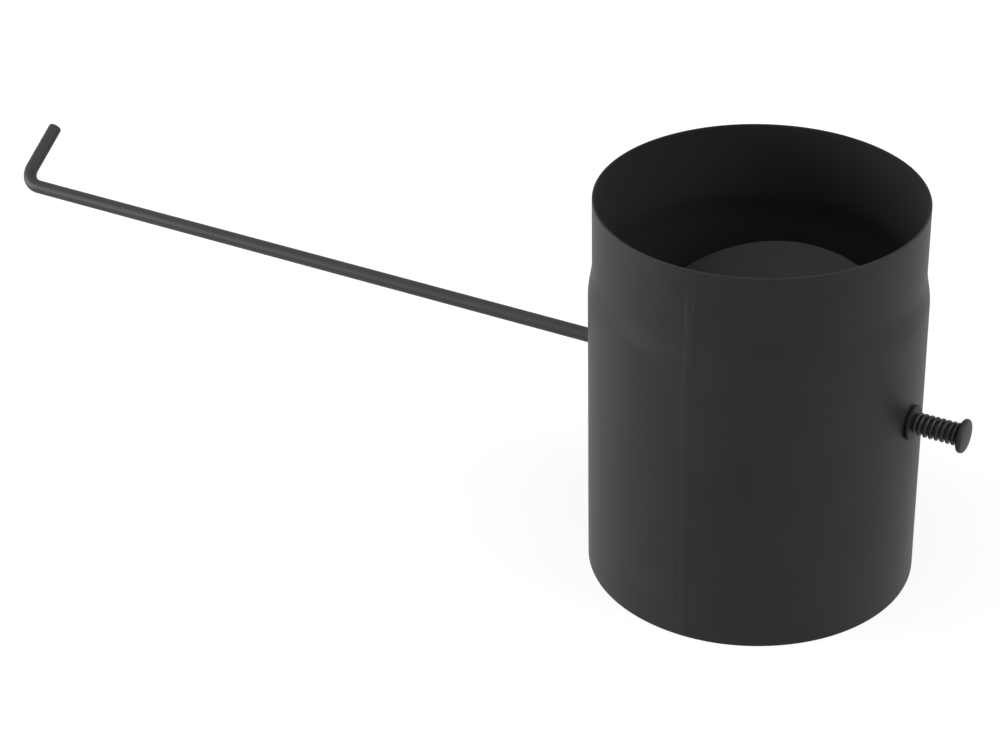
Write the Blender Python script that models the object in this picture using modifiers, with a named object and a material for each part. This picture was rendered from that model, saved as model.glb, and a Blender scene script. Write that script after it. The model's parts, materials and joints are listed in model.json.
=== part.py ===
"""Chimney flue damper for 120 mm black flue pipe.

A short length of rolled and welded steel pipe, necked at its upper end, holds a round
throttle plate. The plate hangs in two lanced loops on a round rod, which runs through both
walls at half the pipe's height. Outside one wall the rod reaches far out to a bent hook, the
handle. Outside the other a button holds a compression spring against a washer, and the spring
keeps the plate where it is turned to.

Metres, +Z up. The pipe stands on its lower rim at z = 0. The rod runs along X, with the hook
at its -X end, and the origin is midway between the rod's two ends, on the floor.
"""

import math

import bmesh
import bpy
from mathutils import Vector

# Pipe
PIPE_BORE = 0.120
PIPE_WALL = 0.0010
PIPE_HEIGHT = 0.150
SPIGOT_FIT = 0.0010          # how much narrower the spigot is than the bore that it goes into
SPIGOT_LENGTH = 0.026
NECK_LENGTH = 0.013          # the taper between the body and the spigot
SHEET_CHAMFER = 0.0002       # the broken edges of both rims
SEAM_AZIMUTH = 273.0         # degrees from +X
SEAM_WIDTH = 0.0046
SEAM_HEIGHT = 0.00035
SEAM_DEPTH = 0.0005          # how far the bead reaches into the wall
SEAM_GROUND = 0.011          # the stretch below the upper rim where the bead is ground flush
SEAM_FOOT = 0.0008           # the bead stops this far above the lower rim

# Rod and handle
ROD_DIAMETER = 0.0055
ROD_HEIGHT = 0.0753          # the rod's axis above the lower rim
ROD_CLEARANCE = 0.0003       # between the rod and the holes in the wall, all round
HANDLE_REACH = 0.2805        # from the pipe's outside to the outside of the hook's bend
HOOK_LENGTH = 0.0290         # from the rod's axis to the hook's end
HOOK_BEND = 0.008            # the bend's radius at the rod's axis
HOOK_TILT = 33.0             # degrees above level, towards +Y
ROD_CHAMFER = 0.0009
EAR_SPAN = 0.009
EAR_LENGTH = 0.004
EAR_THICKNESS = 0.0026
EAR_EDGE = 0.0005
PUNCH_RADIUS = 0.003
PUNCH_DEPTH = 0.0009

# Throttle plate
PLATE_GAP = 0.0025           # between the plate's edge and the bore
PLATE_SHEET = 0.0015
PLATE_TILT = 39.0            # degrees above level, towards +Y
PLATE_CHAMFER = 0.0002
LOOP_OFFSET = 0.032          # from the plate's centre to the middle of a loop
LOOP_WIDTH = 0.010
LOOP_SPAN = 0.024            # across the rod, from root to root
LOOP_ROOT = 0.001            # how far a loop's end reaches into the plate
LANCE_GAP = 0.0003           # the slit beside a loop
TACK_RADIUS = 0.0017

# Spring end
WASHER_DIAMETER = 0.013
WASHER_THICKNESS = 0.0012
WASHER_CLEARANCE = 0.00045
WASHER_CHAMFER = 0.00015
SPRING_WIRE = 0.0013
SPRING_CLEARANCE = 0.0002
SPRING_LENGTH = 0.0167
SPRING_TURNS = 7.5
SPRING_START = 200.0         # degrees around the rod, where the wire begins at the washer
SPRING_END_TURNS = 0.75      # the closed stretch at each end
BUTTON_DIAMETER = 0.0125
BUTTON_RIM = 0.0018          # the thickness at its edge
BUTTON_DOME = 0.0008         # the dome's rise above the edge
BUTTON_ROUND = 0.0008
BUTTON_BORE = 0.0016         # how deep the rod's end sits in it

# Pieces that touch in the real damper stand this far apart
SEAT_GAP = 0.0003

# Coatings: grey, roughness and metallic value
STOVE_PAINT = (0.022, 0.55, 0.0)
PLATE_PAINT = (0.048, 0.60, 0.0)
ROD_BLACK = (0.028, 0.48, 0.2)
ZINC_BLACK = (0.028, 0.42, 0.3)
SPRING_BLACK = (0.022, 0.38, 0.4)

# Facets
PIPE_STEPS = 96
NECK_STEPS = 6
SMALL_STEPS = 40
ROD_SIDES = 16
BEND_STEPS = 10
WIRE_SIDES = 8
COIL_STEPS = 16
ARC_STEPS = 4
SMOOTH_ANGLE = math.radians(35)

# Sizes that follow from those above
BORE_RADIUS = PIPE_BORE / 2
PIPE_RADIUS = BORE_RADIUS + PIPE_WALL
NECK_IN = PIPE_RADIUS - (PIPE_BORE - SPIGOT_FIT) / 2
NECK_TOP = PIPE_HEIGHT - SPIGOT_LENGTH
NECK_FOOT = NECK_TOP - NECK_LENGTH
ROD_RADIUS = ROD_DIAMETER / 2
PLATE_RADIUS = BORE_RADIUS - PLATE_GAP
PLATE_TOP = -(ROD_RADIUS + SEAT_GAP)

# Places along the rod, counted from the pipe's axis towards the spring
WASHER_AT = PIPE_RADIUS + SEAT_GAP
SPRING_AT = WASHER_AT + WASHER_THICKNESS + SEAT_GAP
BUTTON_AT = SPRING_AT + SPRING_LENGTH + SEAT_GAP
BUTTON_END = BUTTON_AT + BUTTON_RIM + BUTTON_DOME
ROD_END = BUTTON_AT + BUTTON_BORE - SEAT_GAP
HOOK_AT = -(PIPE_RADIUS + HANDLE_REACH - ROD_RADIUS)
EAR_AT = -(PIPE_RADIUS + SEAT_GAP + EAR_LENGTH / 2)

# The pipe's axis lies here, so that the origin is midway between the hook and the button
PIPE_X = (PIPE_RADIUS + HANDLE_REACH - BUTTON_END) / 2


# Scene

def clear_scene():
    for obj in list(bpy.data.objects):
        bpy.data.objects.remove(obj)


def new_collection(name):
    collection = bpy.data.collections.new(name)
    bpy.context.scene.collection.children.link(collection)
    return collection


def coating(name, grey, roughness, metallic):
    """A dark coating of one grey."""
    material = bpy.data.materials.new(name)
    material.use_nodes = True
    shader = material.node_tree.nodes["Principled BSDF"]
    shader.inputs["Base Color"].default_value = (grey, grey, grey * 1.04, 1.0)
    shader.inputs["Roughness"].default_value = roughness
    shader.inputs["Metallic"].default_value = metallic
    return material


def add_object(name, data, collection, material=None, parent=None):
    obj = bpy.data.objects.new(name, data)
    collection.objects.link(obj)
    if material:
        data.materials.append(material)
    if parent:
        obj.parent = parent
    return obj


def add_cutter(name, mesh, parent=None):
    """A solid that only shapes others: it isn't a piece of the damper."""
    obj = add_object(name, mesh, cutters, parent=parent)
    obj.hide_render = True
    obj.display_type = "WIRE"
    return obj


def shade_round(mesh):
    mesh.shade_smooth()
    mesh.set_sharp_from_angle(angle=SMOOTH_ANGLE)


# Modifiers

def turn(obj, steps):
    """Turns the object's outline once about its Z axis."""
    screw = obj.modifiers.new("Turn", "SCREW")
    screw.axis = "Z"
    screw.angle = math.tau
    screw.steps = steps
    screw.render_steps = steps
    screw.use_merge_vertices = True
    screw.merge_threshold = 0.00001
    screw.use_smooth_shade = True


def combine(obj, other, operation):
    boolean = obj.modifiers.new(other.name, "BOOLEAN")
    boolean.operation = operation
    boolean.solver = "EXACT"
    boolean.object = other


def even_normals(obj):
    """Keeps the flat faces beside a cut looking flat."""
    weighted = obj.modifiers.new("Normals", "WEIGHTED_NORMAL")
    weighted.keep_sharp = True


def soften(obj, width, segments=1):
    bevel = obj.modifiers.new("Edges", "BEVEL")
    bevel.width = width
    bevel.segments = segments
    bevel.limit_method = "ANGLE"
    bevel.angle_limit = math.radians(50)


# Meshes

def outline_mesh(name, points):
    """A closed outline of (radius, height) points, for turning."""
    shape = bmesh.new()
    corners = [shape.verts.new((radius, 0.0, height)) for radius, height in points]
    for start, end in zip(corners, corners[1:] + corners[:1]):
        shape.edges.new((start, end))
    return finish_mesh(name, shape)


def finish_mesh(name, shape):
    mesh = bpy.data.meshes.new(name)
    shape.to_mesh(mesh)
    shape.free()
    return mesh


def box_mesh(name, size):
    shape = bmesh.new()
    bmesh.ops.create_cube(shape, size=1.0)
    bmesh.ops.scale(shape, vec=size, verts=shape.verts)
    return finish_mesh(name, shape)


def cylinder_mesh(name, radius, length, steps):
    shape = bmesh.new()
    bmesh.ops.create_cone(shape, cap_ends=True, segments=steps, radius1=radius,
                          radius2=radius, depth=length)
    return finish_mesh(name, shape)


def wire_curve(name, points, radius, sides):
    """A round wire along straight runs between the points, with filled ends."""
    curve = bpy.data.curves.new(name, "CURVE")
    curve.dimensions = "3D"
    curve.bevel_depth = radius
    curve.bevel_resolution = (sides - 4) // 2
    curve.use_fill_caps = True
    spline = curve.splines.new("POLY")
    spline.points.add(len(points) - 1)
    for spot, point in zip(spline.points, points):
        spot.co = (*point, 1.0)
    spline.use_smooth = True
    return curve


def mesh_of_curve(obj):
    """Replaces a curve object by a mesh object of the same shape and name."""
    name = obj.name
    graph = bpy.context.evaluated_depsgraph_get()
    mesh = bpy.data.meshes.new_from_object(obj.evaluated_get(graph))
    shape = bmesh.new()
    shape.from_mesh(mesh)
    bmesh.ops.remove_doubles(shape, verts=shape.verts, dist=0.00001)
    shape.to_mesh(mesh)
    shape.free()
    home = obj.users_collection[0]
    parent = obj.parent
    placed = obj.matrix_world.copy()
    bpy.data.objects.remove(obj)
    solid = add_object(name, mesh, home, parent=parent)
    solid.matrix_world = placed
    return solid


def arc_points(centre, radius, start, end, steps):
    """Points (across, up) on an arc, both ends included. Angles in radians."""
    points = []
    for step in range(steps + 1):
        angle = start + (end - start) * step / steps
        points.append((centre[0] + radius * math.cos(angle),
                       centre[1] + radius * math.sin(angle)))
    return points


# Flue pipe

def neck_shift(height):
    """How far the wall has moved inwards at this height: none below the neck."""
    share = min(max((height - NECK_FOOT) / NECK_LENGTH, 0.0), 1.0)
    return NECK_IN * (1.0 - math.cos(math.pi * share)) / 2


def neck_heights():
    return [NECK_FOOT + NECK_LENGTH * step / NECK_STEPS for step in range(NECK_STEPS + 1)]


def pipe_outline():
    """The wall's section: down its outside, then up its inside."""
    top = PIPE_HEIGHT
    cut = SHEET_CHAMFER
    outer = [(PIPE_RADIUS - NECK_IN - cut, top), (PIPE_RADIUS - NECK_IN, top - cut)]
    outer += [(PIPE_RADIUS - neck_shift(z), z) for z in reversed(neck_heights())]
    outer += [(PIPE_RADIUS, cut), (PIPE_RADIUS - cut, 0.0)]
    inner = [(BORE_RADIUS + cut, 0.0), (BORE_RADIUS, cut)]
    inner += [(BORE_RADIUS - neck_shift(z), z) for z in neck_heights()]
    inner += [(BORE_RADIUS - NECK_IN, top - cut), (BORE_RADIUS - NECK_IN + cut, top)]
    return outer + inner


def seam_bead_mesh():
    """The weld bead: a flat oval section, carried up along the outside of the wall."""
    half_depth = (SEAM_HEIGHT + SEAM_DEPTH) / 2
    middle = PIPE_RADIUS + (SEAM_HEIGHT - SEAM_DEPTH) / 2
    top = PIPE_HEIGHT - SEAM_GROUND
    heights = [SEAM_FOOT] + neck_heights() + [top]
    shape = bmesh.new()
    bmesh.ops.create_circle(shape, cap_ends=True, segments=12, radius=1.0)
    bmesh.ops.scale(shape, vec=(half_depth, SEAM_WIDTH / 2, 1.0), verts=shape.verts)
    bmesh.ops.translate(shape, vec=(middle, 0.0, heights[0]), verts=shape.verts)
    end = shape.faces[:]
    for low, high in zip(heights, heights[1:]):
        grown = bmesh.ops.extrude_face_region(shape, geom=end)["geom"]
        moved = [item for item in grown if isinstance(item, bmesh.types.BMVert)]
        inwards = neck_shift(high) - neck_shift(low)
        bmesh.ops.translate(shape, vec=(-inwards, 0.0, high - low), verts=moved)
        if low != heights[0]:
            bmesh.ops.delete(shape, geom=end, context="FACES_ONLY")
        end = [item for item in grown if isinstance(item, bmesh.types.BMFace)]
    bmesh.ops.recalc_face_normals(shape, faces=shape.faces)
    return finish_mesh("seam_bead", shape)


def make_pipe():
    pipe = add_object("flue_pipe", outline_mesh("flue_pipe", pipe_outline()), damper, stove_paint)
    pipe.location = (PIPE_X, 0.0, 0.0)
    turn(pipe, PIPE_STEPS)
    bead = add_cutter("seam_bead", seam_bead_mesh(), parent=pipe)
    bead.rotation_euler = (0.0, 0.0, math.radians(SEAM_AZIMUTH))
    combine(pipe, bead, "UNION")
    hole = cylinder_mesh("rod_holes", ROD_RADIUS + ROD_CLEARANCE, 2.5 * PIPE_RADIUS, SMALL_STEPS)
    drill = add_cutter("rod_holes", hole, parent=pipe)
    drill.location = (0.0, 0.0, ROD_HEIGHT)
    drill.rotation_euler = (0.0, math.pi / 2, 0.0)
    combine(pipe, drill, "DIFFERENCE")
    even_normals(pipe)


# Control rod

def rod_path():
    """From the spring end to the hook's end, in the plane of the hook."""
    bend = arc_points((HOOK_AT + HOOK_BEND, HOOK_BEND), HOOK_BEND,
                      -math.pi / 2, -math.pi, BEND_STEPS)
    flat = [(ROD_END, 0.0)] + bend + [(HOOK_AT, HOOK_LENGTH)]
    return [(along, across, 0.0) for along, across in flat]


def make_rod():
    wire = wire_curve("control_rod", rod_path(), ROD_RADIUS, ROD_SIDES)
    blank = add_object("control_rod", wire, damper, parent=axis)
    blank.rotation_euler = (math.radians(HOOK_TILT), 0.0, 0.0)
    bpy.context.view_layer.update()
    rod = mesh_of_curve(blank)
    rod.data.materials.clear()
    rod.data.materials.append(rod_black)
    soften(rod, ROD_CHAMFER)
    for name, side in (("punch_above", 1.0), ("punch_below", -1.0)):
        mark = cylinder_mesh(name, PUNCH_RADIUS, 2 * ROD_DIAMETER, SMALL_STEPS)
        punch = add_cutter(name, mark, parent=rod)
        punch.location = (EAR_AT, 0.0, side * (ROD_RADIUS - PUNCH_DEPTH + PUNCH_RADIUS))
        punch.rotation_euler = (math.pi / 2, 0.0, 0.0)
        combine(rod, punch, "DIFFERENCE")
    ears = add_cutter("rod_ears", box_mesh("rod_ears", (EAR_LENGTH, EAR_SPAN, EAR_THICKNESS)),
                      parent=rod)
    ears.location = (EAR_AT, 0.0, 0.0)
    soften(ears, EAR_EDGE, 2)
    combine(rod, ears, "UNION")
    even_normals(rod)
    shade_round(rod.data)


# Throttle plate

def loop_section():
    """The middle line of a lanced loop, across the rod: up from the plate, over and down."""
    level = PLATE_TOP - PLATE_SHEET / 2
    crown = ROD_RADIUS + SEAT_GAP + PLATE_SHEET / 2
    root = LOOP_SPAN / 2
    reach = math.hypot(root, level)
    touch = math.atan2(level, root) + math.acos(crown / reach)
    over = arc_points((0.0, 0.0), crown, touch, math.pi - touch, 2 * ARC_STEPS)
    slope = (Vector((root, level)) - Vector(over[0])).normalized()
    start = Vector((root, level)) + slope * LOOP_ROOT
    return [tuple(start)] + over + [(-start.x, start.y)]


def loop_mesh():
    """One loop as a strip of sheet, still without its thickness."""
    shape = bmesh.new()
    line = [shape.verts.new((-LOOP_WIDTH / 2, across, up)) for across, up in loop_section()]
    edges = [shape.edges.new(pair) for pair in zip(line, line[1:])]
    grown = bmesh.ops.extrude_edge_only(shape, edges=edges)["geom"]
    moved = [item for item in grown if isinstance(item, bmesh.types.BMVert)]
    bmesh.ops.translate(shape, vec=(LOOP_WIDTH, 0.0, 0.0), verts=moved)
    bmesh.ops.recalc_face_normals(shape, faces=shape.faces)
    return finish_mesh("loop", shape)


def tack_mesh():
    shape = bmesh.new()
    bmesh.ops.create_uvsphere(shape, u_segments=12, v_segments=8, radius=TACK_RADIUS)
    return finish_mesh("tack", shape)


def make_plate():
    disc = cylinder_mesh("damper_plate", PLATE_RADIUS, PLATE_SHEET, PIPE_STEPS)
    middle = PLATE_TOP - PLATE_SHEET / 2
    for corner in disc.vertices:
        corner.co.z += middle
    plate = add_object("damper_plate", disc, damper, plate_paint, parent=axis)
    plate.rotation_euler = (math.radians(PLATE_TILT), 0.0, 0.0)
    soften(plate, PLATE_CHAMFER)
    crown = ROD_RADIUS + SEAT_GAP + PLATE_SHEET / 2
    window_size = (LOOP_WIDTH + 2 * LANCE_GAP, LOOP_SPAN, 4 * PLATE_SHEET)
    for name, side in (("left", -1.0), ("right", 1.0)):
        window = add_cutter("window_" + name, box_mesh("window_" + name, window_size),
                            parent=plate)
        window.location = (side * LOOP_OFFSET, 0.0, middle)
        combine(plate, window, "DIFFERENCE")
        loop = add_cutter("loop_" + name, loop_mesh(), parent=plate)
        loop.location = (side * LOOP_OFFSET, 0.0, 0.0)
        sheet = loop.modifiers.new("Sheet", "SOLIDIFY")
        sheet.thickness = PLATE_SHEET
        sheet.offset = 0.0
        combine(plate, loop, "UNION")
        tack = add_cutter("tack_" + name, tack_mesh(), parent=plate)
        tack.location = (side * (LOOP_OFFSET + LOOP_WIDTH / 2), 0.0, crown)
        combine(plate, tack, "UNION")
    room = cylinder_mesh("rod_room", ROD_RADIUS + SEAT_GAP, 2 * PIPE_BORE, SMALL_STEPS)
    channel = add_cutter("rod_room", room, parent=plate)
    channel.rotation_euler = (0.0, math.pi / 2, 0.0)
    combine(plate, channel, "DIFFERENCE")
    even_normals(plate)
    shade_round(disc)


# Spring end

def make_washer():
    inner = ROD_RADIUS + WASHER_CLEARANCE
    outer = WASHER_DIAMETER / 2
    cut = WASHER_CHAMFER
    top = WASHER_THICKNESS
    points = [(outer - cut, top), (outer, top - cut), (outer, cut), (outer - cut, 0.0),
              (inner + cut, 0.0), (inner, cut), (inner, top - cut), (inner + cut, top)]
    washer = add_object("spring_washer", outline_mesh("spring_washer", points), damper, zinc_black)
    washer.location = (PIPE_X + WASHER_AT, 0.0, ROD_HEIGHT)
    washer.rotation_euler = (0.0, math.pi / 2, 0.0)
    turn(washer, SMALL_STEPS)


def coil_rise(turns_done):
    """How far along the spring its wire is after so many turns."""
    closed_pitch = SPRING_WIRE + SEAT_GAP / 2
    open_turns = SPRING_TURNS - 2 * SPRING_END_TURNS
    open_length = SPRING_LENGTH - SPRING_WIRE - 2 * SPRING_END_TURNS * closed_pitch
    first = min(turns_done, SPRING_END_TURNS)
    last = max(turns_done - SPRING_END_TURNS - open_turns, 0.0)
    between = turns_done - first - last
    return (first + last) * closed_pitch + between * open_length / open_turns


def make_spring():
    """A left-handed coil, with closed turns at both ends."""
    radius = ROD_RADIUS + SPRING_CLEARANCE + SPRING_WIRE / 2
    count = round(SPRING_TURNS * COIL_STEPS)
    points = []
    for step in range(count + 1):
        turns_done = SPRING_TURNS * step / count
        angle = math.radians(SPRING_START) - math.tau * turns_done
        along = SPRING_AT + SPRING_WIRE / 2 + coil_rise(turns_done)
        points.append((along, radius * math.cos(angle), radius * math.sin(angle)))
    wire = wire_curve("friction_spring", points, SPRING_WIRE / 2, WIRE_SIDES)
    add_object("friction_spring", wire, damper, spring_black, parent=axis)


def make_button():
    """The domed button, turned, with a blind bore for the rod's end."""
    outer = BUTTON_DIAMETER / 2
    bore = ROD_RADIUS + SEAT_GAP
    flat = outer - BUTTON_ROUND
    dome_radius = (flat ** 2 + BUTTON_DOME ** 2) / (2 * BUTTON_DOME)
    edge = math.asin(flat / dome_radius)
    centre = (0.0, BUTTON_RIM + BUTTON_DOME - dome_radius)
    dome = arc_points(centre, dome_radius, math.pi / 2, math.pi / 2 - edge, ARC_STEPS)
    shoulder = arc_points((flat, BUTTON_RIM - BUTTON_ROUND), BUTTON_ROUND,
                          math.pi / 2 - edge, 0.0, ARC_STEPS)
    heel = arc_points((flat, BUTTON_ROUND), BUTTON_ROUND, 0.0, -math.pi / 2, ARC_STEPS)
    points = dome + shoulder + heel + [(bore, 0.0), (bore, BUTTON_BORE), (0.0, BUTTON_BORE)]
    shape = bmesh.new()
    corners = [shape.verts.new((across, 0.0, up)) for across, up in points]
    for start, end in zip(corners, corners[1:]):
        shape.edges.new((start, end))
    bmesh.ops.remove_doubles(shape, verts=shape.verts, dist=0.00001)
    button = add_object("end_button", finish_mesh("end_button", shape), damper, zinc_black,
                        parent=axis)
    button.location = (BUTTON_AT, 0.0, 0.0)
    button.rotation_euler = (0.0, math.pi / 2, 0.0)
    turn(button, SMALL_STEPS)


clear_scene()
damper = new_collection("chimney_flue_damper")
cutters = new_collection("cutters")

stove_paint = coating("stove_paint", *STOVE_PAINT)
plate_paint = coating("plate_paint", *PLATE_PAINT)
rod_black = coating("rod_black", *ROD_BLACK)
zinc_black = coating("zinc_black", *ZINC_BLACK)
spring_black = coating("spring_black", *SPRING_BLACK)

axis = bpy.data.objects.new("rod_axis", None)
damper.objects.link(axis)
axis.location = (PIPE_X, 0.0, ROD_HEIGHT)
bpy.context.view_layer.update()

make_pipe()
make_rod()
make_plate()
make_washer()
make_spring()
make_button()
bpy.context.view_layer.update()
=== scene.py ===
"""The looks of the chimney flue damper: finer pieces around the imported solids, their finishes,
a white studio and the camera.

Metres, +Z up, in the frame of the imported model. The pipe's axis stands upright, the rod lies
along X with its hook at the -X end, and the spring is at the +X end.
"""

import json
import math

import bmesh
import bpy
from mathutils import Matrix, Vector, noise


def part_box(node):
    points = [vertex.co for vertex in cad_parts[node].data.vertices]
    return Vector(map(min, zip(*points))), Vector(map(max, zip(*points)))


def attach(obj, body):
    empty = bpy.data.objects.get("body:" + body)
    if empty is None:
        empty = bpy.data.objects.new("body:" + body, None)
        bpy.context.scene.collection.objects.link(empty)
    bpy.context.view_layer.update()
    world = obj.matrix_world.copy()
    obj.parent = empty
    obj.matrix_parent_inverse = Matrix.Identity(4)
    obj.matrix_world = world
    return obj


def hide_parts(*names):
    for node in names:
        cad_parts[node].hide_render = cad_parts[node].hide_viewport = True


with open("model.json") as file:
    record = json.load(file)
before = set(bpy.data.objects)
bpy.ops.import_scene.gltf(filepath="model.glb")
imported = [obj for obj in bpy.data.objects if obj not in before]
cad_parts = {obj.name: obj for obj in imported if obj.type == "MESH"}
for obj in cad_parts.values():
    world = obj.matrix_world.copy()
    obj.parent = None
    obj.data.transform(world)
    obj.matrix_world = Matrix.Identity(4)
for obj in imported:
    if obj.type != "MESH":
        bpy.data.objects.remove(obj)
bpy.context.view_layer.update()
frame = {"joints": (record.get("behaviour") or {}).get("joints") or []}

# Camera, as in the photograph
CAMERA_POINT = (0.35119, -0.77133, 0.58452)   # from the foot of the pipe's axis
CAMERA_HEADING = 30.779      # degrees to the left of +Y
CAMERA_DOWN = 30.927         # degrees below level
CAMERA_ROLL = -1.3023        # degrees
CAMERA_LENS = 97.156         # millimetres, for the sensor width below
SENSOR_WIDTH = 36.0
CLIP_END = 100.0

# Pipe
WALL = 0.0010
NECK_IN = 0.0015             # how much further in the spigot's wall is than the body's
SPIGOT_LENGTH = 0.026
NECK_LENGTH = 0.013
RIM_ROUND = 0.00028
RIM_FIRST = 15               # degrees into the rim's rounding, where its own points begin
RIM_STEPS = 4
PIPE_COLUMNS = 300
PIPE_ROWS = 104
HOLE_RADIUS = 0.00305
HOLE_SIDES = 64
DRILL_LENGTH = 2.5           # in radii of the pipe, to go through both walls
SHEET_UNEVEN = 0.00006       # how far the rolled sheet lies in from the true round, on average
SHEET_WAVES = 2.2
SHEET_UPRIGHT = 9            # how much of the noise passes per metre of height

# Weld seam
SEAM_AZIMUTH = 272.6         # degrees from +X
SEAM_COLUMNS = 44
SEAM_SPREAD = 5.5            # degrees to each side of the seam that get the finer columns
SEAM_WIDTH = 0.0046
SEAM_SLOPE = 0.0034          # how far the bead slopes off on its gentler side
SEAM_HEIGHT = 0.00015
SEAM_SWELL = 0.00018         # how much higher the bead stands where the weld ended
SWELL_LENGTH = 0.0045
SEAM_GROUND = 0.0102         # the stretch below the upper rim where the bead is ground flush
SEAM_EASE = 0.0016           # the stretch in which the bead rises to its height
CROWN_FLATNESS = 3.2
CROWN_EDGE = 0.8
WANDER = 0.00022             # how far the bead wanders sideways
WANDER_RATE = 45
WANDER_PLACE = 7.3
BEAD_UNEVEN = 0.16           # as a share of the bead's height
BEAD_RATE_ACROSS = 900
BEAD_RATE_ALONG = 320
BEAD_PLACE = 1.7
CRATER_DOWN = 0.0034         # the crater where the weld ended, below the bead's upper end
CRATER_LENGTH = 0.0022
CRATER_WIDTH = 0.0009
CRATER_DEPTH = 0.9           # as a share of the bead's height there
ROOT_WIDTH = 0.0024          # the weld's root, inside
ROOT_HEIGHT = 0.00012

# Rod
ROD_RADIUS = 0.00275
ROD_SIDES = 40
ROD_END_ROUND = 0.0011
ROD_END_STEPS = 4
HOOK_LENGTH = 0.0290
HOOK_BEND = 0.008
HOOK_TILT = 33.0             # degrees above level, towards +Y
BEND_STEPS = 28
HOOK_STEPS = 24
HANDLE_STEPS = 120
INNER_STEPS = 60             # on the stretch through the pipe
EAR_OUT = 0.0045             # half the span across both ears
EAR_HALF = 0.00130
EAR_LENGTH = 0.004
PRESSED_HALF = 0.00185       # half the rod's thickness between the ears
EAR_START = 0.0003           # from the pipe's wall
EAR_EASE = 0.0010            # the stretch in which the rod widens to its ears
EAR_REACH = 0.005            # the stretch to each side of the ears' middle with finer rings
EAR_STEPS = 60
EAR_OUT_POWER = 1.1          # under 1 makes the pressed section squarer, over 1 more pointed
EAR_UP_POWER = 0.45
EAR_SLIMMING = 1.6           # how quickly the section slims towards the ears' edges
EAR_SLIM_FROM = 0.5

# Throttle plate
PLATE_RADIUS = 0.0575
PLATE_SHEET = 0.0015
PLATE_TILT = 39.0            # degrees, the edge at +Y is the raised one
PLATE_ROUND = 0.0003
PLATE_ROUND_STEPS = 4
PLATE_SIDES = 256
SEAT_GAP = 0.0003
SHEET_MIDDLE = ROD_RADIUS + SEAT_GAP + PLATE_SHEET / 2   # from the rod's axis
LOOP_OFFSET = 0.032
LOOP_WIDTH = 0.010
LOOP_SPAN = 0.024
LOOP_STEPS = 32
LOOP_ROOTED = 0.001          # how far the loop's feet reach into the plate
LANCE_GAP = 0.0003
WINDOW_DEPTH = 4             # in thicknesses of the sheet
ROOM_LENGTH = 4              # in radii of the plate, for the room around the rod
TACK_RADIUS = 0.0017
TACK_SIDES = 32
TACK_ROWS = 20

# Spring end
SPRING_WIRE = 0.00146
SPRING_CLEARANCE = 0.00004
SPRING_TURNS = 7.5
SPRING_START = 200.0         # degrees around the rod, where the wire begins at the washer
SPRING_END_TURNS = 0.75
WIRE_SIDES = 14
COIL_STEPS = 44              # in each turn
WASHER_BORE = 0.0032         # the bore's radius
WASHER_ROUND = 0.00022
WASHER_ROUND_STEPS = 5
BUTTON_RIM = 0.0022
BUTTON_ROUND = 0.0010
BUTTON_ROUND_STEPS = 7
BUTTON_BORE = 0.0016         # the bore's depth
DOME_STEPS = 14
TURN_STEPS = 96

# Meshes
SHARP_ANGLE = 40.0           # degrees, from which an edge stays sharp
SAME_POINT = 0.000001

# Finishes
MOTTLE = 0.16                # how far the grey wanders, as a share of it
MOTTLE_SCALE = 38.0
MOTTLE_DETAIL = 5.0
MOTTLE_ROUGHNESS = 0.6
MOTTLE_LOW, MOTTLE_HIGH = 0.3, 0.7
BLUE_SHARE = 1.03            # of the red and the green
ROUGHNESS_SPREAD = 0.05
GRAIN_DETAIL = 3.0
GRAIN_DEPTH = 0.00004
# Painted light: the pipe's inner faces get a lighter grey than its outside, in place of the
# light inside the bore
INSIDE_LIGHTENED_COLOUR = (0.021, 0.021, 0.0215, 1.0)
INSIDE_ROUGHNESS = 0.95
NUMBERS, VECTORS = "ShaderNodeMath", "ShaderNodeVectorMath"

# Studio
WHITE = (1.0, 1.0, 1.0, 1.0)
FLOOR_RADIUS = 30.0
FLOOR_SIDES = 128
FLOOR_DROP = 0.00005         # how far the floor lies under the pipe's rim
FLOOR_COLOUR = (0.82, 0.82, 0.82, 1.0)
FLOOR_GLOW = 1.25
SHADOW_NEAR = (0.08, 0.34)   # at this distance from the pipe's axis, the share of lit floor
SHADOW_FAR = (0.35, 0.20)
WORLD_LIGHT = 0.07
LAMP_AIM = 0.07              # the height that the lamps look at
LAMP_DISTANCE = 1.6
LAMPS = (("left_light", 210, 5, 1.0, 29),    # name, azimuth, elevation, size and power
         ("right_light", 5, 30, 1.0, 12),
         ("top_light", 270, 75, 1.8, 13.5))

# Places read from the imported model
PIPE_LOW, PIPE_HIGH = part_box("flue_pipe")
PIPE_X = (PIPE_LOW.x + PIPE_HIGH.x) / 2
PIPE_RADIUS = (PIPE_HIGH.x - PIPE_LOW.x) / 2
PIPE_TOP = PIPE_HIGH.z
AXIS = Vector(frame["joints"][0]["pos_m"])
ROD_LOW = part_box("control_rod")[0]
WASHER_LOW, WASHER_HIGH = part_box("spring_washer")
SPRING_LOW, SPRING_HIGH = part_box("friction_spring")
BUTTON_LOW, BUTTON_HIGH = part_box("end_button")
NECK_FOOT = PIPE_TOP - SPIGOT_LENGTH - NECK_LENGTH
SEAM_TOP = PIPE_TOP - SEAM_GROUND


# Shared steps

def link(obj):
    bpy.context.scene.collection.objects.link(obj)
    return obj


def mesh_object(name, shape):
    mesh = bpy.data.meshes.new(name)
    bmesh.ops.recalc_face_normals(shape, faces=shape.faces)
    shape.to_mesh(mesh)
    shape.free()
    return link(bpy.data.objects.new(name, mesh))


def apply_modifiers(obj):
    graph = bpy.context.evaluated_depsgraph_get()
    mesh = bpy.data.meshes.new_from_object(obj.evaluated_get(graph))
    obj.modifiers.clear()
    obj.data = mesh


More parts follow.
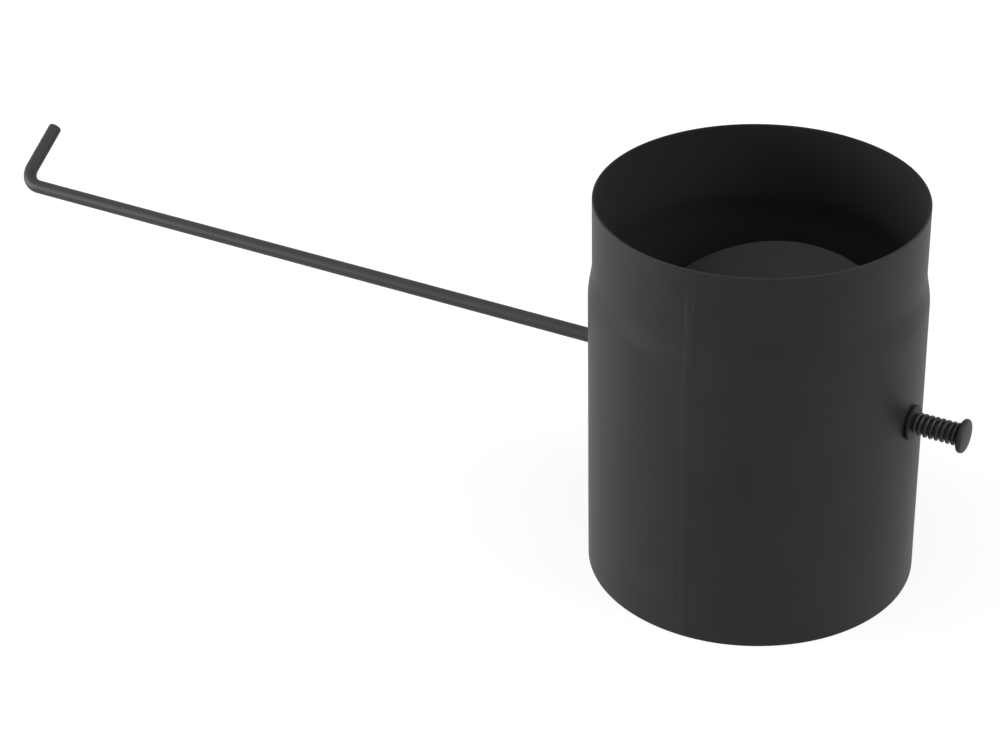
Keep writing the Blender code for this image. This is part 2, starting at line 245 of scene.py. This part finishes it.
def cut(obj, tool, operation="DIFFERENCE"):
    """Cuts or joins the tool into obj and removes the tool."""
    boolean = obj.modifiers.new("Boolean", "BOOLEAN")
    boolean.operation = operation
    boolean.solver = "EXACT"
    boolean.object = tool
    bpy.context.view_layer.update()
    apply_modifiers(obj)
    bpy.data.objects.remove(tool)


def finish_piece(obj, body, node, material):
    """Rounds the shading and hands the piece over: its body, the node it replaces, its slot."""
    obj.data.shade_smooth()
    obj.data.set_sharp_from_angle(angle=math.radians(SHARP_ANGLE))
    obj.data.materials.clear()
    obj.data.materials.append(material)
    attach(obj, body)
    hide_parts(node)


def arc(centre, radius, start, end, steps):
    """Points on an arc, both ends included. Angles in degrees."""
    points = []
    for step in range(steps + 1):
        angle = math.radians(start + (end - start) * step / steps)
        points.append((centre[0] + radius * math.cos(angle),
                       centre[1] + radius * math.sin(angle)))
    return points


def stretch(start, end, steps):
    """Evenly spaced values after the start, up to the end itself."""
    return [start + (end - start) * step / steps for step in range(1, steps + 1)]


def smooth(share):
    share = min(max(share, 0.0), 1.0)
    return share * share * (3 - 2 * share)


def half_wave(share):
    """Falls softly from 1 to 0 as the share goes from 0 to 1."""
    return (1.0 + math.cos(math.pi * share)) / 2


def with_sign(value, power):
    """The value raised to the power, with its own sign."""
    return math.copysign(abs(value) ** power, value)


def join_rings(shape, rings, following):
    """Faces between each ring of vertices and the one that follows it."""
    for near, far in zip(rings, following):
        for side in range(len(near)):
            other = (side + 1) % len(near)
            shape.faces.new((near[side], near[other], far[other], far[side]))


def tube(name, rings):
    """Joins rings of points, each as long as the next, into a tube with flat ends."""
    shape = bmesh.new()
    loops = [[shape.verts.new(point) for point in ring] for ring in rings]
    join_rings(shape, loops, loops[1:])
    shape.faces.new(loops[0])
    shape.faces.new(loops[-1])
    return mesh_object(name, shape)


def turned(name, outline, steps):
    """Turns a closed outline of (radius, height) points once about Z."""
    shape = bmesh.new()
    rings = []
    for step in range(steps):
        angle = math.tau * step / steps
        rings.append([shape.verts.new((r * math.cos(angle), r * math.sin(angle), z))
                      for r, z in outline])
    join_rings(shape, rings, rings[1:] + rings[:1])
    bmesh.ops.remove_doubles(shape, verts=shape.verts, dist=SAME_POINT)
    return mesh_object(name, shape)


def laid_along_x(middle):
    """Lays what was made about Z along X, with its middle or foot at this point."""
    return Matrix.Translation(middle) @ Matrix.Rotation(math.pi / 2, 4, "Y")


def round_tool(name, radius, length, middle):
    """A round bar along X, to cut with."""
    shape = bmesh.new()
    bmesh.ops.create_cone(shape, cap_ends=True, segments=HOLE_SIDES, radius1=radius,
                          radius2=radius, depth=length)
    tool = mesh_object(name, shape)
    tool.matrix_world = laid_along_x(middle)
    return tool


def rod_frame(tilt):
    """The frame on the rod's axis, tilted up from level towards +Y by so many degrees."""
    return Matrix.Translation(AXIS) @ Matrix.Rotation(math.radians(tilt), 4, "X")


# Materials

def worked_out(tree, kind, operation, *values):
    """A maths node. Each value is a number, a vector or another node's output."""
    node = tree.nodes.new(kind)
    node.operation = operation
    for socket, value in zip(node.inputs, values):
        if isinstance(value, bpy.types.NodeSocket):
            tree.links.new(value, socket)
        else:
            socket.default_value = value
    return node


def coating(name, grey, roughness, specular, grain, bump):
    """A dark coating: its grey wanders a little, and its skin has a fine grain."""
    material = bpy.data.materials.new(name + "_finish")
    material.use_nodes = True
    tree = material.node_tree
    shader = tree.nodes["Principled BSDF"]
    shader.inputs["Specular IOR Level"].default_value = specular
    place = tree.nodes.new("ShaderNodeTexCoord")
    clouds = tree.nodes.new("ShaderNodeTexNoise")
    clouds.inputs["Scale"].default_value = MOTTLE_SCALE
    clouds.inputs["Detail"].default_value = MOTTLE_DETAIL
    clouds.inputs["Roughness"].default_value = MOTTLE_ROUGHNESS
    tree.links.new(place.outputs["Object"], clouds.inputs["Vector"])
    tone = tree.nodes.new("ShaderNodeValToRGB")
    ends = ((MOTTLE_LOW, 1 - MOTTLE), (MOTTLE_HIGH, 1 + MOTTLE))
    for element, (position, share) in zip(tone.color_ramp.elements, ends):
        value = grey * share
        element.position = position
        element.color = (value, value, value * BLUE_SHARE, 1.0)
    tree.links.new(clouds.outputs["Fac"], tone.inputs["Fac"])
    tree.links.new(tone.outputs["Color"], shader.inputs["Base Color"])
    dull = tree.nodes.new("ShaderNodeMapRange")
    dull.inputs["To Min"].default_value = roughness - ROUGHNESS_SPREAD
    dull.inputs["To Max"].default_value = roughness + ROUGHNESS_SPREAD
    tree.links.new(clouds.outputs["Fac"], dull.inputs["Value"])
    tree.links.new(dull.outputs["Result"], shader.inputs["Roughness"])
    skin = tree.nodes.new("ShaderNodeTexNoise")
    skin.inputs["Scale"].default_value = grain
    skin.inputs["Detail"].default_value = GRAIN_DETAIL
    tree.links.new(place.outputs["Object"], skin.inputs["Vector"])
    relief = tree.nodes.new("ShaderNodeBump")
    relief.inputs["Strength"].default_value = bump
    relief.inputs["Distance"].default_value = GRAIN_DEPTH
    tree.links.new(skin.outputs["Fac"], relief.inputs["Height"])
    tree.links.new(relief.outputs["Normal"], shader.inputs["Normal"])
    return material


def blend(tree, kind, share, near, far):
    """One value or colour that goes from near to far as the share goes from 0 to 1."""
    mix = tree.nodes.new("ShaderNodeMix")
    mix.data_type = kind
    name = "Float" if kind == "FLOAT" else "Color"
    sockets = {socket.identifier: socket for socket in list(mix.inputs) + list(mix.outputs)}
    tree.links.new(share, sockets["Factor_Float"])
    tree.links.new(near, sockets["A_" + name])
    sockets["B_" + name].default_value = far
    return sockets["Result_" + name]


def painted_light_inside(material, colour, roughness):
    """Gives the pipe's inner faces, those that look towards its axis, a lighter grey and a matt
    skin. The lighter grey is painted light, in place of the light inside the bore.
    """
    tree = material.node_tree
    shader = tree.nodes["Principled BSDF"]
    place = tree.nodes.new("ShaderNodeTexCoord")
    out = worked_out(tree, VECTORS, "SUBTRACT", place.outputs["Object"], (PIPE_X, 0.0, 0.0))
    level = worked_out(tree, VECTORS, "MULTIPLY", out.outputs[0], (1.0, 1.0, 0.0))
    facing = worked_out(tree, VECTORS, "DOT_PRODUCT", level.outputs[0], place.outputs["Normal"])
    inner = worked_out(tree, NUMBERS, "LESS_THAN", facing.outputs["Value"], 0.0)
    for name, kind, far in (("Base Color", "RGBA", colour), ("Roughness", "FLOAT", roughness)):
        before = shader.inputs[name].links[0].from_socket
        tree.links.new(blend(tree, kind, inner.outputs[0], before, far), shader.inputs[name])


# grey, roughness, specular level, grain and strength of the grain
stove_paint = coating("stove_paint", 0.0185, 0.52, 0.18, 1500.0, 0.25)
# painted light: the inside is given a lighter grey than the outside
painted_light_inside(stove_paint, INSIDE_LIGHTENED_COLOUR, INSIDE_ROUGHNESS)
# Painted light: the plate has the pipe's paint, given a lighter grey for the light that falls on
# it from above
plate_paint = coating("plate_paint", 0.0285, 0.60, 0.20, 1400.0, 0.25)
rod_black = coating("rod_black", 0.023, 0.50, 0.30, 1200.0, 0.30)
button_black = coating("button_black", 0.021, 0.50, 0.22, 1800.0, 0.20)
spring_black = coating("spring_black", 0.018, 0.42, 0.32, 2500.0, 0.20)
# Painted shade: the washer's grey is darker than the button's, for the shade it lies in beside
# the wall
washer_black = coating("washer_black", 0.013, 0.55, 0.18, 1800.0, 0.20)


# Flue pipe

def neck_shift(height):
    """How far the wall has moved inwards at this height."""
    share = min(max((height - NECK_FOOT) / NECK_LENGTH, 0.0), 1.0)
    return NECK_IN * (1.0 - half_wave(share))


def seam_lift(turned_by, height):
    """The weld's rise outside, at so many degrees from its middle line."""
    wander = WANDER * noise.noise(Vector((0.0, WANDER_PLACE, height * WANDER_RATE)))
    across = math.radians(turned_by) * PIPE_RADIUS + wander
    share = -across / (SEAM_WIDTH / 2) if across < 0 else across / SEAM_SLOPE
    if share >= 1.0:
        return 0.0
    steep_side = (1.0 - share ** CROWN_FLATNESS) ** CROWN_EDGE
    crown = steep_side if across < 0 else half_wave(share)
    ground = smooth((SEAM_TOP - height) / SEAM_EASE + 0.5)
    foot = smooth(height / SEAM_EASE)
    spot = Vector((across * BEAD_RATE_ACROSS, BEAD_PLACE, height * BEAD_RATE_ALONG))
    unevenness = 1.0 + BEAD_UNEVEN * noise.noise(spot)
    from_crater = height - (SEAM_TOP - CRATER_DOWN)
    crater = math.exp(-(from_crater / CRATER_LENGTH) ** 2 - (across / CRATER_WIDTH) ** 2)
    rise = SEAM_HEIGHT + SEAM_SWELL * math.exp(-(from_crater / SWELL_LENGTH) ** 2)
    return rise * (crown * unevenness - CRATER_DEPTH * crater) * ground * foot


def root_lift(turned_by):
    """The rise of the weld's root inside."""
    across = math.radians(turned_by) * (PIPE_RADIUS - WALL)
    share = abs(across) / (ROOT_WIDTH / 2)
    return ROOT_HEIGHT * half_wave(share) if share < 1 else 0.0


def pipe_columns():
    """Degrees from the seam's middle, with finer columns near it."""
    near = [SEAM_SPREAD * (2 * step / SEAM_COLUMNS - 1) for step in range(SEAM_COLUMNS)]
    far = 360 - 2 * SEAM_SPREAD
    rest = [SEAM_SPREAD + far * step / PIPE_COLUMNS for step in range(PIPE_COLUMNS)]
    return near + rest


def pipe_section():
    """The wall's section before its neck, as (inset, height) points: how far in from outside."""
    r = RIM_ROUND
    top, foot = (0.0, PIPE_TOP - r), (0.0, r)
    outer = [(0.0, r + (PIPE_TOP - 2 * r) * step / PIPE_ROWS) for step in range(PIPE_ROWS + 1)]
    upper = [(r - x, y) for x, y in arc(top, r, RIM_FIRST, 90, RIM_STEPS)]
    upper_in = [(WALL - r - x, y) for x, y in arc(top, r, 90, 180 - RIM_FIRST, RIM_STEPS)]
    inner = [(WALL, z) for _, z in reversed(outer)]
    lower_in = [(WALL - r - x, y) for x, y in arc(foot, r, 180 + RIM_FIRST, 270, RIM_STEPS)]
    lower = [(r - x, y) for x, y in arc(foot, r, 270, 360 - RIM_FIRST, RIM_STEPS)]
    return outer + upper + upper_in + inner + lower_in + lower


def make_pipe():
    section = pipe_section()
    shape = bmesh.new()
    rings = []
    for turned_by in pipe_columns():
        azimuth = math.radians(SEAM_AZIMUTH + turned_by)
        away = (turned_by + 180) % 360 - 180
        ring = []
        for inset, height in section:
            lift = seam_lift(away, height) if inset < WALL / 2 else -root_lift(away)
            where = Vector((math.cos(azimuth), math.sin(azimuth), height * SHEET_UPRIGHT))
            uneven = SHEET_UNEVEN * (1 + noise.noise(where * SHEET_WAVES))
            radius = PIPE_RADIUS - inset - neck_shift(height) + lift - uneven
            ring.append(shape.verts.new((radius * math.cos(azimuth),
                                         radius * math.sin(azimuth), height)))
        rings.append(ring)
    join_rings(shape, rings, rings[1:] + rings[:1])
    pipe = mesh_object("pipe_shell", shape)
    pipe.data.transform(Matrix.Translation((PIPE_X, 0.0, 0.0)))
    middle = (PIPE_X, 0.0, AXIS.z)
    cut(pipe, round_tool("drill", HOLE_RADIUS, DRILL_LENGTH * PIPE_RADIUS, middle))
    finish_piece(pipe, "pipe", "flue_pipe", stove_paint)


# Control rod

def rod_stations(end, ears):
    """(point, direction) along the rod from the spring end, in the hook's plane."""
    corner = ROD_LOW.x - AXIS.x + ROD_RADIUS
    straight_end = corner + HOOK_BEND
    rounded_end = end - ROD_END_ROUND
    along = [end] + stretch(end, rounded_end, ROD_END_STEPS)
    along += stretch(rounded_end, ears + EAR_REACH, INNER_STEPS)
    along += stretch(ears + EAR_REACH, ears - EAR_REACH, EAR_STEPS)
    along += stretch(ears - EAR_REACH, straight_end, HANDLE_STEPS)[:-1]
    stations = [((x, 0.0), (-1.0, 0.0)) for x in along]
    for x, y in arc((straight_end, HOOK_BEND), HOOK_BEND, 270, 180, BEND_STEPS):
        way = (x - straight_end, y - HOOK_BEND)
        stations.append(((x, y), (way[1] / HOOK_BEND, -way[0] / HOOK_BEND)))
    rounded_tip = HOOK_LENGTH - ROD_END_ROUND
    up_hook = stretch(HOOK_BEND, rounded_tip, HOOK_STEPS)
    up_hook += stretch(rounded_tip, HOOK_LENGTH, ROD_END_STEPS)
    return stations + [((corner, y), (0.0, 1.0)) for y in up_hook]


def rounded_off(from_end):
    """How much thinner the rod is this near to one of its ends."""
    if from_end >= ROD_END_ROUND:
        return 0.0
    short = ROD_END_ROUND - from_end
    return ROD_END_ROUND - math.sqrt(max(ROD_END_ROUND ** 2 - short ** 2, 0))


def make_rod():
    end = BUTTON_LOW.x - AXIS.x + BUTTON_BORE - SEAT_GAP
    ears = PIPE_LOW.x - AXIS.x - EAR_START - EAR_LENGTH / 2
    hook_frame = rod_frame(HOOK_TILT)
    rings = []
    for (x, y), (dx, dy) in rod_stations(end, ears):
        from_end = end - x if dy == 0 else HOOK_LENGTH - y if dx == 0 else ROD_RADIUS
        radius = ROD_RADIUS - rounded_off(from_end)
        pressed = 0.0
        if dy == 0 and x < 0:
            pressed = 1 - smooth((abs(x - ears) - EAR_LENGTH / 2 + EAR_EASE) / EAR_EASE)
        ring = []
        for side in range(ROD_SIDES):
            angle = math.tau * side / ROD_SIDES
            across, up = radius * math.cos(angle), radius * math.sin(angle)
            sway = with_sign(math.cos(angle), EAR_OUT_POWER) * EAR_OUT
            slimmed = smooth(abs(sway) / EAR_OUT * EAR_SLIMMING - EAR_SLIM_FROM)
            slim = PRESSED_HALF + (EAR_HALF - PRESSED_HALF) * slimmed
            lift = with_sign(math.sin(angle), EAR_UP_POWER) * slim
            across += (sway - across) * pressed
            up += (lift - up) * pressed
            # across lies in the hook's plane, and up is square to it
            ring.append(hook_frame @ Vector((x + dy * across, y - dx * across, up)))
        rings.append(ring)
    rod = tube("rod_and_hook", rings)
    finish_piece(rod, "damper", "control_rod", rod_black)


# Throttle plate

def plate_blank():
    half = PLATE_SHEET / 2
    r = PLATE_ROUND
    edge = PLATE_RADIUS - r
    outline = [(0.0, -SHEET_MIDDLE - half)]
    outline += arc((edge, -SHEET_MIDDLE - half + r), r, 270, 360, PLATE_ROUND_STEPS)
    outline += arc((edge, -SHEET_MIDDLE + half - r), r, 0, 90, PLATE_ROUND_STEPS)
    outline += [(0.0, -SHEET_MIDDLE + half)]
    return turned("throttle_plate", outline, PLATE_SIDES)


def lanced_window(across_x):
    """The opening that a loop leaves in the plate."""
    window = bmesh.new()
    bmesh.ops.create_cube(window, size=1.0)
    size = (LOOP_WIDTH + 2 * LANCE_GAP, LOOP_SPAN, WINDOW_DEPTH * PLATE_SHEET)
    bmesh.ops.scale(window, vec=size, verts=window.verts)
    bmesh.ops.translate(window, vec=(across_x, 0.0, -SHEET_MIDDLE), verts=window.verts)
    return mesh_object("window", window)


def loop_line():
    """The middle line of a lanced loop, across the rod."""
    root = LOOP_SPAN / 2
    reach = math.hypot(root, -SHEET_MIDDLE)
    touch = math.degrees(math.atan2(-SHEET_MIDDLE, root) + math.acos(SHEET_MIDDLE / reach))
    over = arc((0.0, 0.0), SHEET_MIDDLE, touch, 180 - touch, LOOP_STEPS)
    slope = (Vector((root, -SHEET_MIDDLE)) - Vector(over[0])).normalized()
    start = Vector((root, -SHEET_MIDDLE)) + slope * LOOP_ROOTED
    return [tuple(start)] + over + [(-start.x, start.y)]


def lanced_loop(across_x):
    strip = bmesh.new()
    line = [strip.verts.new((-LOOP_WIDTH / 2, across, up)) for across, up in loop_line()]
    edges = [strip.edges.new(pair) for pair in zip(line, line[1:])]
    grown = bmesh.ops.extrude_edge_only(strip, edges=edges)["geom"]
    moved = [item for item in grown if isinstance(item, bmesh.types.BMVert)]
    bmesh.ops.translate(strip, vec=(LOOP_WIDTH, 0.0, 0.0), verts=moved)
    bmesh.ops.translate(strip, vec=(across_x, 0.0, 0.0), verts=strip.verts)
    loop = mesh_object("loop", strip)
    sheet = loop.modifiers.new("Sheet", "SOLIDIFY")
    sheet.thickness = PLATE_SHEET
    sheet.offset = 0.0
    bpy.context.view_layer.update()
    apply_modifiers(loop)
    return loop


def tack_weld(across_x):
    bead = bmesh.new()
    bmesh.ops.create_uvsphere(bead, u_segments=TACK_SIDES, v_segments=TACK_ROWS,
                              radius=TACK_RADIUS)
    bmesh.ops.translate(bead, vec=(across_x, 0.0, SHEET_MIDDLE), verts=bead.verts)
    return mesh_object("tack", bead)


def make_plate():
    plate = plate_blank()
    for side in (-1.0, 1.0):
        cut(plate, lanced_window(side * LOOP_OFFSET))
        cut(plate, lanced_loop(side * LOOP_OFFSET), "UNION")
        cut(plate, tack_weld(side * (LOOP_OFFSET + LOOP_WIDTH / 2)), "UNION")
    middle = (0.0, 0.0, 0.0)
    cut(plate, round_tool("room", ROD_RADIUS + SEAT_GAP, ROOM_LENGTH * PLATE_RADIUS, middle))
    plate.data.transform(rod_frame(PLATE_TILT))
    finish_piece(plate, "damper", "damper_plate", plate_paint)


# Spring end

def coil_rise(turns_done, length):
    """How far along the spring its wire is after so many turns."""
    closed_pitch = SPRING_WIRE + SEAT_GAP / 2
    open_turns = SPRING_TURNS - 2 * SPRING_END_TURNS
    open_length = length - SPRING_WIRE - 2 * SPRING_END_TURNS * closed_pitch
    first = min(turns_done, SPRING_END_TURNS)
    last = max(turns_done - SPRING_END_TURNS - open_turns, 0.0)
    between = turns_done - first - last
    return (first + last) * closed_pitch + between * open_length / open_turns


def make_spring():
    length = SPRING_HIGH.x - SPRING_LOW.x
    radius = ROD_RADIUS + SPRING_CLEARANCE + SPRING_WIRE / 2
    count = round(SPRING_TURNS * COIL_STEPS)
    middle = []
    for step in range(count + 1):
        turns_done = SPRING_TURNS * step / count
        angle = math.radians(SPRING_START) - math.tau * turns_done
        along = SPRING_LOW.x - AXIS.x + SPRING_WIRE / 2 + coil_rise(turns_done, length)
        middle.append(Vector((along, radius * math.cos(angle), radius * math.sin(angle))))
    rings = []
    for step, point in enumerate(middle):
        before = middle[max(step - 1, 0)]
        after = middle[min(step + 1, count)]
        ahead = (after - before).normalized()
        out = Vector((0.0, point.y, point.z)).normalized()
        side = ahead.cross(out).normalized()
        out = side.cross(ahead)
        rings.append([AXIS + point + (out * math.cos(a) + side * math.sin(a)) * SPRING_WIRE / 2
                      for a in (math.tau * s / WIRE_SIDES for s in range(WIRE_SIDES))])
    spring = tube("spring_coil", rings)
    finish_piece(spring, "damper", "friction_spring", spring_black)


def make_washer():
    thickness = WASHER_HIGH.x - WASHER_LOW.x
    outer = (WASHER_HIGH.z - WASHER_LOW.z) / 2
    r = WASHER_ROUND
    corners = (((outer - r, r), 270), ((outer - r, thickness - r), 0),
               ((WASHER_BORE + r, thickness - r), 90), ((WASHER_BORE + r, r), 180))
    outline = []
    for centre, start in corners:
        outline += arc(centre, r, start, start + 90, WASHER_ROUND_STEPS)
    washer = turned("washer_ring", outline, TURN_STEPS)
    washer.data.transform(laid_along_x((WASHER_LOW.x, AXIS.y, AXIS.z)))
    finish_piece(washer, "pipe", "spring_washer", washer_black)


def make_button():
    outer = (BUTTON_HIGH.z - BUTTON_LOW.z) / 2
    whole = BUTTON_HIGH.x - BUTTON_LOW.x
    bore = ROD_RADIUS + SEAT_GAP
    rise = whole - BUTTON_RIM
    flat = outer - BUTTON_ROUND
    dome = (flat ** 2 + rise ** 2) / (2 * rise)
    edge = 90 - math.degrees(math.asin(flat / dome))
    outline = [(0.0, BUTTON_BORE), (bore, BUTTON_BORE), (bore, SEAT_GAP), (bore + SEAT_GAP, 0.0)]
    outline += arc((flat, BUTTON_ROUND), BUTTON_ROUND, 270, 360, BUTTON_ROUND_STEPS)
    outline += arc((flat, BUTTON_RIM - BUTTON_ROUND), BUTTON_ROUND, 0, edge, BUTTON_ROUND_STEPS)
    outline += arc((0.0, whole - dome), dome, edge, 90, DOME_STEPS)[1:]
    button = turned("button_dome", outline, TURN_STEPS)
    button.data.transform(laid_along_x((BUTTON_LOW.x, AXIS.y, AXIS.z)))
    finish_piece(button, "damper", "end_button", button_black)


# Studio

def white_to_the_eye(tree):
    """1 for rays from the camera, in gloss and through glass: they see a white room."""
    path = tree.nodes.new("ShaderNodeLightPath")
    either = worked_out(tree, NUMBERS, "MAXIMUM", path.outputs["Is Camera Ray"],
                        path.outputs["Is Glossy Ray"])
    any_of = worked_out(tree, NUMBERS, "MAXIMUM", either.outputs[0],
                        path.outputs["Is Transmission Ray"])
    return any_of.outputs[0]


def mixed(tree, share, near, far):
    """A shader that goes from near to far as the share goes from 0 to 1."""
    mix = tree.nodes.new("ShaderNodeMixShader")
    tree.links.new(share, mix.inputs["Fac"])
    tree.links.new(near.outputs[0], mix.inputs[1])
    tree.links.new(far.outputs[0], mix.inputs[2])
    return mix


def make_floor():
    """A floor that is white to the eye with a faint shadow, and plain matt inside the pipe."""
    shape = bmesh.new()
    bmesh.ops.create_circle(shape, cap_ends=True, segments=FLOOR_SIDES, radius=FLOOR_RADIUS)
    floor = mesh_object("floor", shape)
    floor.location = (PIPE_X, 0.0, -FLOOR_DROP)
    material = bpy.data.materials.new("floor_white")
    material.use_nodes = True
    tree = material.node_tree
    tree.nodes.remove(tree.nodes["Principled BSDF"])
    matt = tree.nodes.new("ShaderNodeBsdfDiffuse")
    matt.inputs["Color"].default_value = FLOOR_COLOUR
    glow = tree.nodes.new("ShaderNodeEmission")
    glow.inputs["Strength"].default_value = FLOOR_GLOW
    place = tree.nodes.new("ShaderNodeTexCoord")
    away = worked_out(tree, VECTORS, "LENGTH", place.outputs["Object"]).outputs["Value"]
    shaded = tree.nodes.new("ShaderNodeMapRange")
    for end, (distance, share) in (("Min", SHADOW_NEAR), ("Max", SHADOW_FAR)):
        shaded.inputs["From " + end].default_value = distance
        shaded.inputs["To " + end].default_value = share
    tree.links.new(away, shaded.inputs["Value"])
    pale = mixed(tree, shaded.outputs["Result"], glow, matt)
    outside = worked_out(tree, NUMBERS, "GREATER_THAN", away, PIPE_RADIUS - WALL / 2)
    both = worked_out(tree, NUMBERS, "MULTIPLY", white_to_the_eye(tree), outside.outputs[0])
    choice = mixed(tree, both.outputs[0], matt, pale)
    tree.links.new(choice.outputs[0], tree.nodes["Material Output"].inputs["Surface"])
    floor.data.materials.append(material)


def make_world():
    """A dim room that looks white to the eye."""
    world = bpy.data.worlds.new("studio")
    world.use_nodes = True
    bpy.context.scene.world = world
    tree = world.node_tree
    dim = tree.nodes["Background"]
    dim.inputs["Color"].default_value = WHITE
    dim.inputs["Strength"].default_value = WORLD_LIGHT
    white = tree.nodes.new("ShaderNodeBackground")
    white.inputs["Color"].default_value = WHITE
    white.inputs["Strength"].default_value = 1.0
    choice = mixed(tree, white_to_the_eye(tree), dim, white)
    tree.links.new(choice.outputs[0], tree.nodes["World Output"].inputs["Surface"])


def make_lamp(name, azimuth, elevation, size, power):
    """A square soft light that looks at the middle of the pipe. Degrees from +X, and up."""
    a, e = math.radians(azimuth), math.radians(elevation)
    way = Vector((math.cos(e) * math.cos(a), math.cos(e) * math.sin(a), math.sin(e)))
    light = bpy.data.lights.new(name, "AREA")
    light.shape = "SQUARE"
    light.size = size
    light.energy = power
    lamp = link(bpy.data.objects.new(name, light))
    lamp.location = Vector((PIPE_X, 0.0, LAMP_AIM)) + way * LAMP_DISTANCE
    lamp.rotation_euler = way.to_track_quat("Z", "Y").to_euler()


def make_camera():
    data = bpy.data.cameras.new("camera")
    data.lens = CAMERA_LENS
    data.sensor_width = SENSOR_WIDTH
    data.sensor_fit = "HORIZONTAL"
    data.clip_end = CLIP_END
    camera = link(bpy.data.objects.new("camera", data))
    camera.matrix_world = (Matrix.Translation(Vector(CAMERA_POINT) + Vector((PIPE_X, 0.0, 0.0)))
                           @ Matrix.Rotation(math.radians(CAMERA_HEADING), 4, "Z")
                           @ Matrix.Rotation(math.radians(90 - CAMERA_DOWN), 4, "X")
                           @ Matrix.Rotation(math.radians(CAMERA_ROLL), 4, "Z"))
    bpy.context.scene.camera = camera


make_pipe()
make_rod()
make_plate()
make_spring()
make_washer()
make_button()
make_floor()
make_world()
for lamp in LAMPS:
    make_lamp(*lamp)
make_camera()

bpy.context.scene.view_settings.view_transform = "Standard"
